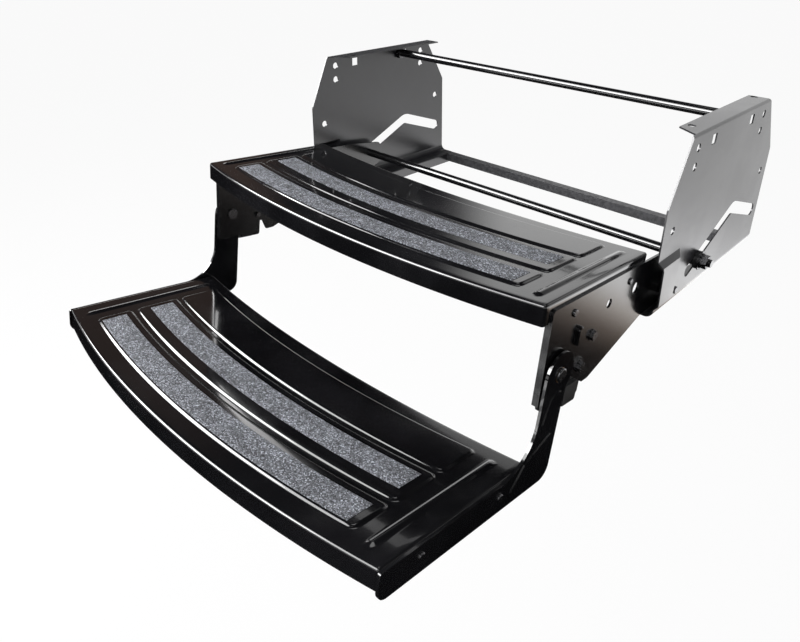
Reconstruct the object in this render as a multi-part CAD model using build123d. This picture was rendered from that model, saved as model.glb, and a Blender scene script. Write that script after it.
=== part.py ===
"""Camper entry step: a two-tread step that slides and folds into a steel frame under the door."""
import math
import os

from build123d import *

# Millimetres. X runs across the door, -Y points at the person who climbs up, +Z is up.
# The origin is the middle of the four bolt holes in the frame's top flanges, on their top face.

# Frame, bent from one sheet on each side
frame_width = 648.0
frame_sheet = 2.0
frame_height = 238.0
top_flange = 31.0
rail_width = 31.0
rail_lip = 18.0
rail_bend = 12.0
top_bend = 4.0

# Side plate outline, along the vehicle
top_front_y = -147.0
nose_y = -184.0
nose_z = -84.0
step_back_z = -152.0
step_back = 9.0
heel_y = -167.0
rear_low_y = 171.0
rear_mid_y = 163.0
rear_mid_z = -82.0
top_rear_y = 110.0
plate_corner = 8.0
front_nip = 17.0

# Pressed relief at the front of each side plate
relief_height = 6.0
relief_rear_y = -131.0
relief_slope = 8.0
relief_low_rise = 21.0

# Holes for fastening the frame
flange_hole_inset = 22.0
flange_hole_spacing = 210.0
flange_hole_radius = 5.0
side_hole_front_y = -129.0
side_hole_spacing = 222.0
side_hole_upper_z = -18.0
side_hole_gap = 24.0
side_hole_radius = 5.5
square_hole_front_y = -82.0
square_hole_rear_y = 46.0
square_hole_z = -17.0
square_hole_side = 13.5
nose_hole_drop = 33.0
nose_hole_inset = 26.0
tail_hole_drop = 31.0
tail_hole_inset = 22.0

# Z-shaped slot that the carriage rod runs in
slot_low_y = -77.0
slot_low_rise = 37.0
slot_width = 18.5
slot_bend_radius = 20.0
slot_rise_angle = 23.0
slot_rise_length = 140.0
slot_tail_angle = 18.5
slot_tail_length = 97.0
rod_rest = 24.0

# Rods and bars of the frame
top_rod_radius = 7.0
top_rod_y = 33.0
top_rod_drop = 12.5
top_nut_flats = 19.0
top_nut_length = 8.0
rear_bar_side = 16.0
rear_bar_wall = 2.0
rear_bar_inset = 1.0

# Glide pads inside the plates
glide_y = -101.0
glide_length = 42.0
glide_height = 14.0
glide_thickness = 10.0
glide_rivet_back = 13.0
glide_rivet_radius = 3.0
glide_rivet_head = 2.0

# Carriage, which hangs tilted back
carriage_tilt = 5.0
pivot_reach = 298.0
pivot_drop = 21.0
bracket_side_gap = 13.0
bracket_sheet = 3.0
bracket_front = 27.0
bracket_top = 83.0
bracket_foot = 40.0
bracket_foot_corner = 6.0
bracket_front_flange = 8.0
bracket_flange_nip = 5.0
notch_y = 57.0
notch_width = 22.0
notch_depth = 17.0
tail_start_y = 82.0
rail_seat_front = 5.0
rail_seat_length = 55.0
seat_gap = 0.3
rod_boss = 20.0
bracket_hole_z = 52.0
bracket_hole_front_y = 102.0
bracket_hole_rear_y = 170.0
bracket_hole_front_radius = 6.0
bracket_hole_rear_radius = 8.0
lance_y = 35.0
lance_z = 34.0
lance_width = 10.0
lance_length = 24.0
lance_height = 5.0

# Carriage rod, its rollers and nuts
rod_radius = 7.0
running_gap = 0.05
slot_gap = 0.3
roller_length = 6.0
roller_rim = 5.5
roller_rim_radius = 12.5
rod_stub_radius = 5.5
rod_stub_inset = 4.0
rod_washer = 2.0
rod_washer_radius = 13.5
rod_nut_flats = 17.0
rod_nut_length = 9.0
rod_nut_flange = 2.0
rod_nut_flange_radius = 10.5
rod_end = 5.0

# Treads, both the same stamping but for their width
tread_sheet = 2.5
tread_depth = 233.0
front_bow = 37.0
rear_bow = 27.0
front_flange = 25.0
rear_flange = 20.0
side_flange = 36.0
tread_round = 2.0
upper_tread_front = 40.0
upper_tread_rise = 93.0
lower_tread_front = 262.0
lower_tread_drop = 105.0

# Raised pads, grip strips and end beads, measured back from the front edge
pad_end_inset = 44.0
pad_starts = (26.0, 84.0, 155.0)
pad_widths = (50.0, 64.0, 61.0)
pad_rise = 2.5
pad_corner = 7.0
pad_taper = 40.0
grip_starts = (30.0, 102.0)
grip_width = 35.0
grip_end_inset = 11.0
grip_thickness = 1.0
bead_inset = 21.0
bead_start = 12.0
bead_length = 196.0
bead_width = 12.0
bead_rise = 2.0
wall_relief = 6.0
flange_clear = 1.0
corner_slit = 5.0
sunk = 0.001

# Lower step arms
lower_tilt = 8.0
arm_gap = 3.0
arm_sheet = 3.2
arm_head = 27.0
arm_rear = 17.5
arm_inner_bend = 52.0
arm_foot_drop = 1.5
arm_foot_height = 35.5
arm_toe = 5.0
arm_corner = 14.0
panel_rise = 1.0
panel_inset = 9.0
leg_panel_length = 46.0
leg_panel_skew = 20.0
heel_panel_height = 66.0
heel_panel_shoulder = 44.0
arm_rivet_drop = 16.5
arm_rivet_front_y = -207.0
arm_rivet_rear_y = -81.0

# Pivot of the lower step
pin_radius = 6.0
pin_head_radius = 8.5
pin_head = 2.6
bush_radius = 9.0
spacer_radius = 13.0
side_gap = 0.3

# Stops that the arms come down on
stop_gap = 0.3
stop_top = 21.5
stop_height = 26.0
stop_length = 28.0
stop_corner = 3.0
stop_pad = 4.5
backing_thickness = 2.5
backing_y = 40.0
backing_length = 36.0
backing_top = 2.0
backing_height = 48.0
stop_bolt_y = 50.0
stop_bolt_z = -8.0

# Fasteners
bolt_radius = 4.0
bolt_head_flats = 11.0
bolt_head = 4.5
bolt_flange_radius = 7.5
bolt_flange = 1.2
bracket_bolt_y = 72.0
bracket_bolt_z = 21.0
rivet_radius = 2.4
rivet_head_radius = 4.6
rivet_head = 2.0
rivet_stub = 1.0
bolt_stub = 4.0
tread_rivet_drop = 26.0
tread_rivet_front_y = 19.0
tread_rivet_rear_y = 149.0

# Faces that everything else is set from
plate_outer = frame_width / 2
plate_inner = plate_outer - frame_sheet
lip_inner = plate_outer - rail_width
flange_inner = plate_outer - top_flange
rail_top = -frame_height + frame_sheet
relief_low_z = -frame_height + relief_low_rise
flange_hole_x = plate_outer - flange_hole_inset
slot_low_z = -frame_height + slot_low_rise
pivot_y = slot_low_y - pivot_reach
pivot_z = slot_low_z - pivot_drop
bracket_outer = plate_inner - bracket_side_gap
bracket_inner = bracket_outer - bracket_sheet
pad_half_length = bracket_inner - pad_end_inset
grip_half_length = pad_half_length - grip_end_inset
bead_x = bracket_inner - bead_inset
arm_inner = bracket_outer + arm_gap
arm_outer = arm_inner + arm_sheet
corner_depth = upper_tread_rise - bracket_top + bracket_flange_nip - flange_clear


def side_prism(points, x_low, x_high):
    """A plate lying in the YZ plane; each point is (y, z, corner radius)."""
    line = FilletPolyline(*[(y, z) for y, z, r in points], radius=[r for y, z, r in points], close=True)
    return extrude(Plane.YZ.offset(x_low) * make_face(line), x_high - x_low)


def disc(y, z, radius, x_low, x_high):
    """A round bar along X."""
    return extrude(Plane.YZ.offset(x_low) * (Pos(y, z) * Circle(radius)), x_high - x_low)


def ring(y, z, inner, outer, x_low, x_high):
    """A tube along X."""
    return disc(y, z, outer, x_low, x_high) - disc(y, z, inner, x_low, x_high)


def hexagon(y, z, flats, x_low, x_high):
    """A hexagonal bar along X."""
    shape = RegularPolygon(flats / 2, 6, major_radius=False)
    return extrude(Plane.YZ.offset(x_low) * (Pos(y, z) * shape), x_high - x_low)


def block(x_range, y_range, z_range):
    """A box between two corners."""
    size = [high - low for low, high in (x_range, y_range, z_range)]
    middle = [(high + low) / 2 for low, high in (x_range, y_range, z_range)]
    return Pos(*middle) * Box(*size)


def other_side(shape):
    """The same piece on the left of the step."""
    return mirror(shape, about=Plane.YZ)


def pair(shape):
    """A piece and its mirror image as two separate solids."""
    return Compound(children=[shape, other_side(shape)])


def rivet(y, z, x_tail, x_face, head_radius=rivet_head_radius, radius=rivet_radius, head=rivet_head):
    """A domed rivet whose head sits on the face at x_face."""
    shank = disc(y, z, radius, x_tail, x_face)
    dome = disc(y, z, head_radius, x_face, x_face + head)
    edge = dome.edges().filter_by(GeomType.CIRCLE).sort_by(Axis.X)[-1]
    return shank + fillet(edge, 0.6 * min(head, head_radius))


def hex_bolt(y, z, x_tail, x_face):
    """A flanged hexagon bolt whose head sits on the face at x_face."""
    shank = disc(y, z, bolt_radius, x_tail, x_face)
    flange = disc(y, z, bolt_flange_radius, x_face, x_face + bolt_flange)
    return shank + flange + hexagon(y, z, bolt_head_flats, x_face, x_face + bolt_head)


# Where the rod runs
slot_low = (slot_low_y, slot_low_z)


def step_from(point, angle, length):
    """The point reached from another at an angle above level."""
    turn = math.radians(angle)
    return point[0] + length * math.cos(turn), point[1] + length * math.sin(turn)


slot_bend = step_from(slot_low, slot_rise_angle, slot_rise_length)
rod_at_y, rod_at_z = step_from(slot_low, slot_rise_angle, rod_rest)
slot_end = step_from(slot_bend, -slot_tail_angle, slot_tail_length)


def slot_shape():
    """The Z-shaped slot about the line that the rod runs along."""
    path = FilletPolyline(slot_low, slot_bend, slot_end, radius=slot_bend_radius)
    shape = trace(path, slot_width)
    for y, z in (slot_low, slot_end):
        shape += Pos(y, z) * Circle(slot_width / 2)
    return shape


def side_plate():
    """Right side plate: web, top flange, bottom rail and its lip, bent from one sheet."""
    corners = [
        (flange_inner, 0, 0),
        (plate_outer, 0, top_bend),
        (plate_outer, -frame_height, rail_bend),
        (lip_inner + frame_sheet, -frame_height, 1),
        (lip_inner + frame_sheet, -frame_height - rail_lip, 0),
        (lip_inner, -frame_height - rail_lip, 0),
        (lip_inner, rail_top, 1 + frame_sheet),
        (plate_inner, rail_top, max(rail_bend - frame_sheet, 1)),
        (plate_inner, -frame_sheet, max(top_bend - frame_sheet, 0.5)),
        (flange_inner, -frame_sheet, 0),
    ]
    radii = [corner[2] for corner in corners]
    section = make_face(FilletPolyline(*[corner[:2] for corner in corners], radius=radii, close=True))
    rear_end = max(rear_low_y, rear_mid_y, top_rear_y) + 1
    length = rear_end - nose_y + 1
    bent = extrude(Plane.XZ.offset(-rear_end) * section, length)

    relief = pressed_relief()
    sheet = bent - relief[0] + relief[1]

    below = -frame_height - rail_lip - 1
    outline = [
        (top_front_y, 1, 0),
        (nose_y, nose_z, plate_corner),
        (nose_y + 1, step_back_z, plate_corner / 2),
        (nose_y + step_back, step_back_z - 1.5 * step_back, plate_corner / 2),
        (heel_y, below, 0),
        (rear_low_y, below, 0),
        (rear_low_y, rail_top, 0),
        (rear_mid_y, rear_mid_z, plate_corner),
        (top_rear_y, 1, 0),
    ]
    sheet = sheet & side_prism(outline, lip_inner - 1, plate_outer + relief_height + 1)

    nip = [
        (flange_inner - 1, nose_y),
        (plate_inner - 1, nose_y),
        (plate_inner - 1, top_front_y + front_nip / 2),
        (flange_inner - 1, top_front_y + 1.6 * front_nip),
    ]
    sheet -= extrude(Pos(0, 0, -frame_sheet - 1) * make_face(Polyline(*nip, close=True)), frame_sheet + 2)

    holes = Sketch() + slot_shape()
    for y in (side_hole_front_y, side_hole_front_y + side_hole_spacing):
        for z in (side_hole_upper_z, side_hole_upper_z - side_hole_gap):
            holes += Pos(y, z) * Circle(side_hole_radius)
    for y in (square_hole_front_y, square_hole_rear_y):
        holes += Pos(y, square_hole_z) * Rectangle(square_hole_side, square_hole_side)
    holes += Pos(nose_y + nose_hole_inset, nose_z - nose_hole_drop) * Circle(side_hole_radius)
    holes += Pos(rear_mid_y - tail_hole_inset, rear_mid_z - tail_hole_drop) * Circle(side_hole_radius)
    holes += Pos(glide_rivet_y, glide_z) * Circle(glide_rivet_radius)
    web_cut = Plane.YZ.offset(plate_inner - 1) * holes
    sheet -= extrude(web_cut, frame_sheet + 2)
    for y in (-flange_hole_spacing / 2, flange_hole_spacing / 2):
        sheet -= Pos(flange_hole_x, y, 0) * Cylinder(flange_hole_radius, 4 * frame_sheet)
    return sheet


def pressed_relief():
    """The raised panel at the front of the plate: the metal to cut away and the metal to add."""
    front = nose_y - 10
    top_z = step_back_z - relief_slope
    foot_y, foot_z = relief_rear_y + relief_slope, relief_low_z - relief_slope
    outer = [(front, step_back_z), (foot_y, step_back_z), (foot_y, foot_z), (front, foot_z)]
    inner = [(front, top_z), (relief_rear_y, top_z), (relief_rear_y, relief_low_z), (front, relief_low_z)]

    def swell(x):
        base = extrude(Plane.YZ.offset(x) * make_face(Polyline(*outer, close=True)), frame_sheet)
        low = Plane.YZ.offset(x + frame_sheet) * make_face(Polyline(*outer, close=True))
        high = Plane.YZ.offset(x + frame_sheet + relief_height) * make_face(Polyline(*inner, close=True))
        return base + loft([low, high])

    behind = swell(plate_inner - frame_sheet)
    side = (plate_inner - 1, plate_outer + 2 * relief_height)
    web_side = block(side, (front, rear_low_y), (-frame_height, 0))
    return behind & web_side, swell(plate_inner) - behind


glide_z = -frame_height + rail_bend + 0.5 + glide_height / 2
glide_rivet_y = glide_y - glide_length / 2 + glide_rivet_back


def glide_pad():
    """A hard plastic pad that keeps the carriage off the side plate."""
    y_low = glide_y - glide_length / 2
    z_low = glide_z - glide_height / 2
    corners = [(y_low, z_low, 3), (y_low + glide_length, z_low, 3),
               (y_low + glide_length, z_low + glide_height, 3), (y_low, z_low + glide_height, 3)]
    face = plate_inner - glide_thickness
    pad = side_prism(corners, face, plate_inner)
    return pad - disc(glide_rivet_y, glide_z, glide_rivet_radius, face, plate_inner)


def rear_bar():
    """The square tube between the two rail lips at the back."""
    y_high = rear_low_y - rear_bar_inset
    y_low = y_high - rear_bar_side
    z_low = rail_top - rear_bar_side
    outer = block((-lip_inner, lip_inner), (y_low, y_high), (z_low, rail_top))
    wall = rear_bar_wall
    bore = block((-lip_inner, lip_inner), (y_low + wall, y_high - wall), (z_low + wall, rail_top - wall))
    return outer - bore


# The carriage and the lower step are drawn level about the lower step's pivot, then tilted
carriage_place = Pos(0, pivot_y, pivot_z) * Rot(X=-carriage_tilt)
lower_place = Pos(0, pivot_y, pivot_z) * Rot(X=-lower_tilt)


def on_carriage(y, z):
    """A point of the frame in the level drawing of the carriage."""
    tilt = math.radians(carriage_tilt)
    back, up = y - pivot_y, z - pivot_z
    return back * math.cos(tilt) - up * math.sin(tilt), back * math.sin(tilt) + up * math.cos(tilt)


rod_y, rod_z = on_carriage(rod_at_y, rod_at_z)


def bow_edge(offset, bow, half, y_end):
    """An arc across the tread, bowed towards the front."""
    return ThreePointArc((-half, y_end + offset), (0, y_end + offset - bow), (half, y_end + offset))


def bow_at(half, bow, full):
    """How far an edge of the given bow has come back at half, measured from its middle."""
    radius = (full ** 2 + bow ** 2) / (2 * bow)
    return radius - math.sqrt(radius ** 2 - half ** 2)


def tread_outline(half, shift=0.0):
    """The tread seen from above, its front corners at y = shift."""
    front = bow_edge(shift, front_bow, half, 0)
    rear = bow_edge(shift + tread_depth, rear_bow, half, 0)
    sides = [Line(front @ 0, rear @ 0), Line(front @ 1, rear @ 1)]
    return make_face([front, rear] + sides)


def band(start, width, half, full, corner):
    """A strip that follows the front edge, from start to start + width behind its middle."""
    back = bow_at(half, front_bow, full)
    y_mid = start - front_bow
    front = ThreePointArc((-half, y_mid + back), (0, y_mid), (half, y_mid + back))
    rear = ThreePointArc((-half, y_mid + back + width), (0, y_mid + width), (half, y_mid + back + width))
    face = make_face([front, rear, Line(front @ 0, rear @ 0), Line(front @ 1, rear @ 1)])
    return fillet(face.vertices(), corner) if corner else face


def tread(half, front_relief=wall_relief):
    """A pressed tread with its top face at z = 0: flanges down on all sides and three raised pads."""
    outline = tread_outline(half)
    front_strip = outline - tread_outline(half, shift=tread_sheet)
    rear_strip = outline - tread_outline(half, shift=-tread_sheet)
    body = extrude(outline, -tread_sheet)
    body += extrude(front_strip, -front_flange)
    body += extrude(rear_strip, -rear_flange)
    ends = block((half - tread_sheet, half), (front_relief, tread_depth - wall_relief), (-side_flange, 0))
    ends += block((half - tread_sheet, half), (0, front_relief - corner_slit), (-front_flange, 0))
    ends += block((half - tread_sheet, half), (0, front_relief), (-corner_depth, 0))
    body += ends + other_side(ends)
    rim = [edge for edge in body.edges() if abs(edge.center().Z) < 1e-6]
    body = fillet(rim, tread_round)
    top = -sunk
    for start, width in zip(pad_starts, pad_widths):
        face = band(start, width, pad_half_length, half, pad_corner)
        body += extrude(Pos(0, 0, top) * face, pad_rise - top, taper=pad_taper)
        body -= extrude(Pos(0, 0, -tread_sheet) * face, pad_rise, taper=pad_taper)
    bead = SlotCenterToCenter(bead_length - bead_width, bead_width)
    for x in (-bead_x, bead_x):
        face = Pos(x, bead_start + bead_length / 2, top) * Rot(Z=90) * bead
        body += extrude(face, bead_rise - top, taper=pad_taper)
    return body


def grip(index, half):
    """A strip of grit tape on the pad."""
    face = band(grip_starts[index], grip_width, grip_half_length, half, 0)
    return extrude(Pos(0, 0, pad_rise) * face, grip_thickness)


def bracket():
    """Right carriage bracket: the side of the carriage, with the rod's hole at its rear."""
    notch_low = notch_y - notch_width / 2
    notch_high = notch_y + notch_width / 2
    rear = rod_y + rod_boss
    seat_front = on_carriage(heel_y - rail_seat_front, rail_top + seat_gap)
    seat_rear = on_carriage(heel_y - rail_seat_front + rail_seat_length, rail_top + seat_gap)
    outline = [
        (-bracket_front, bracket_top, bracket_flange_nip),
        (-bracket_front, -bracket_foot, bracket_foot_corner),
        (notch_low, -bracket_foot, 2),
        (notch_y - 2.5, -bracket_foot + notch_depth, 2),
        (notch_y + 2.5, -bracket_foot + notch_depth, 2),
        (notch_high, -bracket_foot - 1, 2),
        (tail_start_y, -bracket_foot - 1, 12),
        (*seat_front, 4),
        (*seat_rear, 10),
        (rear, rod_z - rod_boss, 8),
        (rear, rod_z + rod_boss, 8),
        (rod_y - 3 * rod_boss, bracket_top, 8),
    ]
    plate = side_prism(outline, bracket_inner, bracket_outer)
    plate -= disc(rod_y, rod_z, rod_radius, bracket_inner, bracket_outer)
    plate -= disc(0, 0, pin_radius, bracket_inner, bracket_outer)
    front_hole = (bracket_hole_front_y, bracket_hole_front_radius)
    rear_hole = (bracket_hole_rear_y, bracket_hole_rear_radius)
    for y, radius in (front_hole, rear_hole):
        plate -= disc(y, bracket_hole_z, radius, bracket_inner, bracket_outer)
    for y in (tread_rivet_front_y, tread_rivet_rear_y):
        plate -= disc(y, tread_rivet_z, rivet_radius, bracket_inner, bracket_outer)
    plate -= disc(bracket_bolt_y, bracket_bolt_z, bolt_radius, bracket_inner, bracket_outer)
    stop_bolt = disc(stop_bolt_y, stop_bolt_z, bolt_radius, bracket_inner, bracket_outer)
    plate -= Rot(X=carriage_tilt - lower_tilt) * stop_bolt
    front = block((bracket_outer - bracket_front_flange, bracket_inner),
                  (-bracket_front, -bracket_front + bracket_sheet),
                  (-bracket_foot + bracket_foot_corner, bracket_top - bracket_flange_nip))
    y_low, y_high = lance_y - lance_width / 2, lance_y + lance_width / 2
    z_low, z_high = lance_z - lance_length / 2, lance_z + lance_length / 2
    lance = block((bracket_outer, bracket_outer + lance_height), (y_low, y_high), (z_low, z_high))
    lance = fillet(lance.edges().filter_by(Axis.X), lance_width / 2 - 0.5)
    lance = chamfer(lance.faces().sort_by(Axis.X)[-1].edges(), 1.5)
    return plate + front + lance


tread_rivet_z = upper_tread_rise - tread_rivet_drop


def arm_outline(inset=0.0):
    """The arm's side view as points with corner radii: head, leg and foot."""
    foot_top = -lower_tread_drop - arm_foot_drop
    foot_low = foot_top - arm_foot_height
    toe = -lower_tread_front - arm_toe + 3
    return [
        (-arm_head + inset, -inset, 0),
        (-arm_head + inset, foot_top - inset, arm_inner_bend + inset),
        (toe + inset, foot_top - inset, 3),
        (toe + inset, foot_low + inset, arm_corner),
        (arm_rear - inset, foot_low + inset, arm_corner + 3),
        (arm_rear - inset, -inset, 0),
    ]


def arm():
    """Right arm of the lower step, with pressed panels in its leg and heel."""
    leg = side_prism(arm_outline(), arm_inner, arm_outer)
    body = leg + disc(0, 0, arm_head, arm_inner, arm_outer)
    behind_leg = block((arm_inner, arm_outer), (arm_rear, arm_head + 1), (-arm_head - 1, -stop_top))
    body -= behind_leg
    foot_low = -lower_tread_drop - arm_foot_drop - arm_foot_height
    leg_top = -arm_head
    leg_low = leg_top - leg_panel_length
    leg_front = -arm_head + panel_inset
    leg_back = arm_rear - 0.7 * panel_inset
    leg_panel = [
        (leg_front + panel_inset, leg_top, 4),
        (leg_back, leg_top + panel_inset / 2, 4),
        (leg_back, leg_low + panel_inset / 2, 4),
        (leg_front, leg_low - panel_inset / 2, 4),
        (leg_front, leg_low + leg_panel_skew - panel_inset / 2, 4),
    ]
    heel_panel = [
        (arm_rear - panel_inset, foot_low + heel_panel_height, 4),
        (arm_rear - panel_inset, foot_low + panel_inset, 8),
        (-arm_inner_bend, foot_low + 0.8 * panel_inset, 6),
        (-arm_inner_bend - panel_inset, foot_low + 1.8 * panel_inset, 5),
        (-arm_head - 1.4 * panel_inset, foot_low + heel_panel_shoulder, 10),
    ]
    for points in (leg_panel, heel_panel):
        body += side_prism(points, arm_outer - 0.1, arm_outer + panel_rise)
    body -= disc(0, 0, bush_radius, arm_inner, arm_outer + panel_rise)
    for y in (arm_rivet_front_y, arm_rivet_rear_y):
        body -= disc(y, arm_rivet_z, rivet_radius, arm_inner, arm_outer)
    return body


arm_rivet_z = -lower_tread_drop - arm_rivet_drop


def stop_backing():
    """The plate bolted to the bracket behind the stop pad."""
    y_low, y_high = backing_y - backing_length / 2, backing_y + backing_length / 2
    z_low = backing_top - backing_height
    corners = [(y_low, z_low, 4), (y_high, z_low, 4), (y_high, backing_top, 6), (y_low, backing_top, 4)]
    face = bracket_outer + backing_thickness
    plate = side_prism(corners, bracket_outer, face)
    return plate - disc(stop_bolt_y, stop_bolt_z, bolt_radius, bracket_outer, face)


def stop():
    """The pad that the arm's rear edge comes down on."""
    y_low = arm_rear + stop_gap
    y_high = y_low + stop_length
    z_low = -stop_top - stop_height
    corners = [(y_low, z_low, 1), (y_high, z_low, stop_corner),
               (y_high, -stop_top, stop_corner), (y_low, -stop_top, 1)]
    x_low = bracket_outer + backing_thickness
    return side_prism(corners, x_low, x_low + stop_pad)


def tread_side_holes(body, ys, z):
    """Cuts rivet holes through both side flanges of a tread."""
    for y in ys:
        body -= disc(y, z, rivet_radius, -arm_outer, arm_outer)
    return body


parts = {}

# Frame
plate = side_plate()
parts["right_side_plate"] = plate
parts["left_side_plate"] = other_side(plate)
top_rod_z = -frame_sheet - top_rod_drop
top_nut_low = plate_inner - top_nut_length
parts["top_cross_rod"] = disc(top_rod_y, top_rod_z, top_rod_radius, -plate_inner, plate_inner)
nut = hexagon(top_rod_y, top_rod_z, top_nut_flats, top_nut_low, plate_inner)
nut -= disc(top_rod_y, top_rod_z, top_rod_radius, top_nut_low, plate_inner)
parts["top_rod_nuts"] = pair(nut)
parts["rear_cross_bar"] = rear_bar()
parts["glide_pads"] = pair(glide_pad())
glide_tail = plate_inner - glide_thickness + 1
glide_rivet = rivet(glide_rivet_y, glide_z, glide_tail, plate_outer, 1.7 * glide_rivet_radius,
                    glide_rivet_radius, glide_rivet_head)
parts["glide_rivets"] = pair(glide_rivet)

# Carriage
rivet_ys = (tread_rivet_front_y, tread_rivet_rear_y)
upper_y = -upper_tread_front
behind_flange = upper_tread_front - bracket_front + bracket_sheet + flange_clear
upper_tread = Pos(0, upper_y, upper_tread_rise) * tread(bracket_inner, behind_flange)
upper_tread = tread_side_holes(upper_tread, rivet_ys, tread_rivet_z)
parts["upper_tread"] = carriage_place * upper_tread
for name, index in (("front", 0), ("rear", 1)):
    strip = Pos(0, upper_y, upper_tread_rise) * grip(index, bracket_inner)
    parts["upper_grip_" + name] = carriage_place * strip
right_bracket = bracket()
parts["right_carriage_bracket"] = carriage_place * right_bracket
parts["left_carriage_bracket"] = carriage_place * other_side(right_bracket)
rivet_tail = bracket_inner - tread_sheet - rivet_stub
rivets = [rivet(y, tread_rivet_z, rivet_tail, bracket_outer) for y in rivet_ys]
parts["upper_tread_rivets"] = carriage_place * Compound(children=rivets + [other_side(r) for r in rivets])
bolt_tail = bracket_inner - bolt_stub
bracket_bolt = hex_bolt(bracket_bolt_y, bracket_bolt_z, bolt_tail, bracket_outer)
parts["bracket_bolts"] = carriage_place * pair(bracket_bolt)
right_backing = stop_backing()
parts["stop_backings"] = lower_place * pair(right_backing)
right_stop = stop()
parts["right_stop_pad"] = lower_place * right_stop
parts["left_stop_pad"] = lower_place * other_side(right_stop)
stop_face = bracket_outer + backing_thickness
parts["stop_bolts"] = lower_place * pair(hex_bolt(stop_bolt_y, stop_bolt_z, bolt_tail, stop_face))

# Carriage rod with its rollers, washers and nuts
rim_low = plate_outer + slot_gap
rim_high = rim_low + roller_rim
washer_low = rim_high + slot_gap
nut_low = washer_low + rod_washer
nut_high = nut_low + rod_nut_length
rod_tip = nut_high + rod_end
stub_low = plate_inner - rod_stub_inset
rod = disc(rod_at_y, rod_at_z, rod_radius, -stub_low, stub_low)
parts["carriage_rod"] = rod + disc(rod_at_y, rod_at_z, rod_stub_radius, -rod_tip, rod_tip)
bore = rod_stub_radius + running_gap
roller = ring(rod_at_y, rod_at_z, bore, slot_width / 2 - slot_gap, rim_low - roller_length, rim_low)
roller += ring(rod_at_y, rod_at_z, bore, roller_rim_radius, rim_low, rim_high)
parts["right_slot_roller"] = roller
parts["left_slot_roller"] = other_side(roller)
washer = ring(rod_at_y, rod_at_z, rod_stub_radius, rod_washer_radius, washer_low, nut_low)
parts["rod_washers"] = pair(washer)
rod_nut = hexagon(rod_at_y, rod_at_z, rod_nut_flats, nut_low, nut_high)
rod_nut += disc(rod_at_y, rod_at_z, rod_nut_flange_radius, nut_low, nut_low + rod_nut_flange)
rod_nut -= disc(rod_at_y, rod_at_z, rod_stub_radius, nut_low, nut_high)
parts["rod_nuts"] = pair(rod_nut)

# Pivot between the carriage and the lower step
pin = rivet(0, 0, bracket_inner, arm_outer + side_gap, pin_head_radius, pin_radius, pin_head)
pin += disc(0, 0, pin_head_radius, bracket_inner - pin_head, bracket_inner)
parts["pivot_pins"] = lower_place * pair(pin)
spacer = ring(0, 0, pin_radius, spacer_radius, bracket_outer, arm_inner - side_gap)
parts["pivot_spacers"] = lower_place * pair(spacer)
bush = ring(0, 0, pin_radius + running_gap, bush_radius, arm_inner, arm_outer)
parts["arm_bushes"] = lower_place * pair(bush)

# Lower step
rivet_ys = (arm_rivet_front_y, arm_rivet_rear_y)
lower_y = -lower_tread_front
lower_tread = Pos(0, lower_y, -lower_tread_drop) * tread(arm_inner)
lower_tread = tread_side_holes(lower_tread, rivet_ys, arm_rivet_z)
parts["lower_tread"] = lower_place * lower_tread
for name, index in (("front", 0), ("rear", 1)):
    strip = Pos(0, lower_y, -lower_tread_drop) * grip(index, arm_inner)
    parts["lower_grip_" + name] = lower_place * strip
right_arm = arm()
parts["right_step_arm"] = lower_place * right_arm
parts["left_step_arm"] = lower_place * other_side(right_arm)
rivet_tail = arm_inner - tread_sheet - rivet_stub
rivets = [rivet(y, arm_rivet_z, rivet_tail, arm_outer) for y in rivet_ys]
parts["lower_tread_rivets"] = lower_place * Compound(children=rivets + [other_side(r) for r in rivets])

os.makedirs("parts", exist_ok=True)
for name, shape in parts.items():
    export_step(shape, os.path.join("parts", name + ".step"))
print(len(parts), "sub-parts written")
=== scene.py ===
"""Looks of the camper entry step: pressed treads, grit strips, enamel, fasteners, floor and studio light."""

import math

import bmesh
import bpy
from mathutils import Matrix, Vector, noise


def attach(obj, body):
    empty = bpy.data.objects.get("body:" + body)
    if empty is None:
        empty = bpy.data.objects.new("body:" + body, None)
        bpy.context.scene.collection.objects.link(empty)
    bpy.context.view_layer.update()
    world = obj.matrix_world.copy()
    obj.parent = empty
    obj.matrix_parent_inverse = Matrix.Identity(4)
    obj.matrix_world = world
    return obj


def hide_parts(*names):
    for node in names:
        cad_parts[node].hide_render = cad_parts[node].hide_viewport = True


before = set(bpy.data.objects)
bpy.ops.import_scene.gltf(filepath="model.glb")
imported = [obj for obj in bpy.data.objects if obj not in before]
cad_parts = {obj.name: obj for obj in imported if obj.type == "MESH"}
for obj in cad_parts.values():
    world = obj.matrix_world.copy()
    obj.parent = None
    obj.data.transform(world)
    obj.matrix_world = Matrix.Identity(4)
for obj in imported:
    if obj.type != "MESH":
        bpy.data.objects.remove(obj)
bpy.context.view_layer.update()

MM = 0.001

# Where the two treads sit, in millimetres and degrees. The side flanges start at relief, behind the slit
PIVOT = (0, -375, -222)
UPPER_TREAD = {"body": "carriage", "tilt": 5, "front": -40, "top": 93, "half": 306, "relief": 17}
LOWER_TREAD = {"body": "lower_step", "tilt": 8, "front": -262, "top": -105, "half": 312, "relief": 6}

# The pressing
DEPTH = 233
FRONT_BOW = 37
REAR_BOW = 27
SHEET = 2.5
ROLL = 3.6
FRONT_FLANGE = 25
REAR_FLANGE = 20
SIDE_FLANGE = 36
SLIT = 5
SLIT_TOP = 14.4

# The raised pads, as where each starts behind the front edge and how wide it is, and the beads near the ends
PAD_BANDS = ((26, 50), (84, 64), (155, 61))
PAD_HALF_LENGTH = 262
PAD_CORNER = 7
PAD_RISE = 2.5
PAD_FOOT = 1.1
PAD_SLOPE = 3.7
BEAD_X = 285
BEAD_ENDS = (18, 202)
BEAD_REACH = 6.4
BEAD_RISE = 2

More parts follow.
